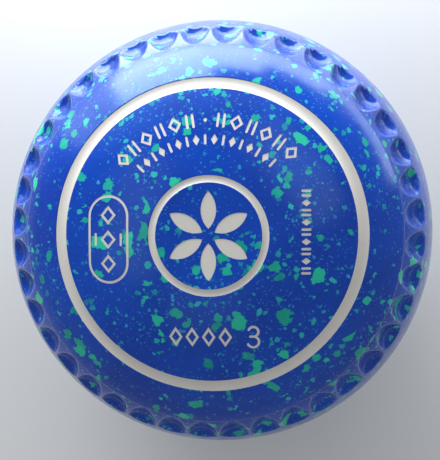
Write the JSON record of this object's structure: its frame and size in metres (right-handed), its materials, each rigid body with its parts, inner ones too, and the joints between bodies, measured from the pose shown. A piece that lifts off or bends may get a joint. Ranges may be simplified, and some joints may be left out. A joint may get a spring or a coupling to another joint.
{
  "type": "lawn bowl",
  "caption": "Biased resin bowl for lawn games, wider than it is thick, with a grip band of thumb dimples and enamel-filled rings and marks on each side.",
  "frame": {"origin": "centre of the flat disc on the bias side, which the bowl rests on", "axes": "+Z along the rolling axis from the bias side to the non-bias side, +Y to the top of the marks on the non-bias side"},
  "size_m": [0.122, 0.122, 0.1077],
  "materials": {
    "speckled_resin": "polished royal blue melamine resin with turquoise chips",
    "enamel": "off-white enamel, satin"
  },
  "bodies": {
    "root": {"bowl_body": "speckled_resin", "large_ring_enamel": "enamel", "centre_ring_enamel": "enamel", "rosette_enamel": "enamel", "upper_arc_enamel": "enamel", "lower_arc_enamel": "enamel", "stamp_border_enamel": "enamel", "stamp_marks_enamel": "enamel", "tally_enamel": "enamel", "size_mark_enamel": "enamel", "bias_small_ring_enamel": "enamel", "bias_centre_ring_enamel": "enamel", "bias_rosette_enamel": "enamel", "bias_size_mark_enamel": "enamel"}
  },
  "joints": []
}
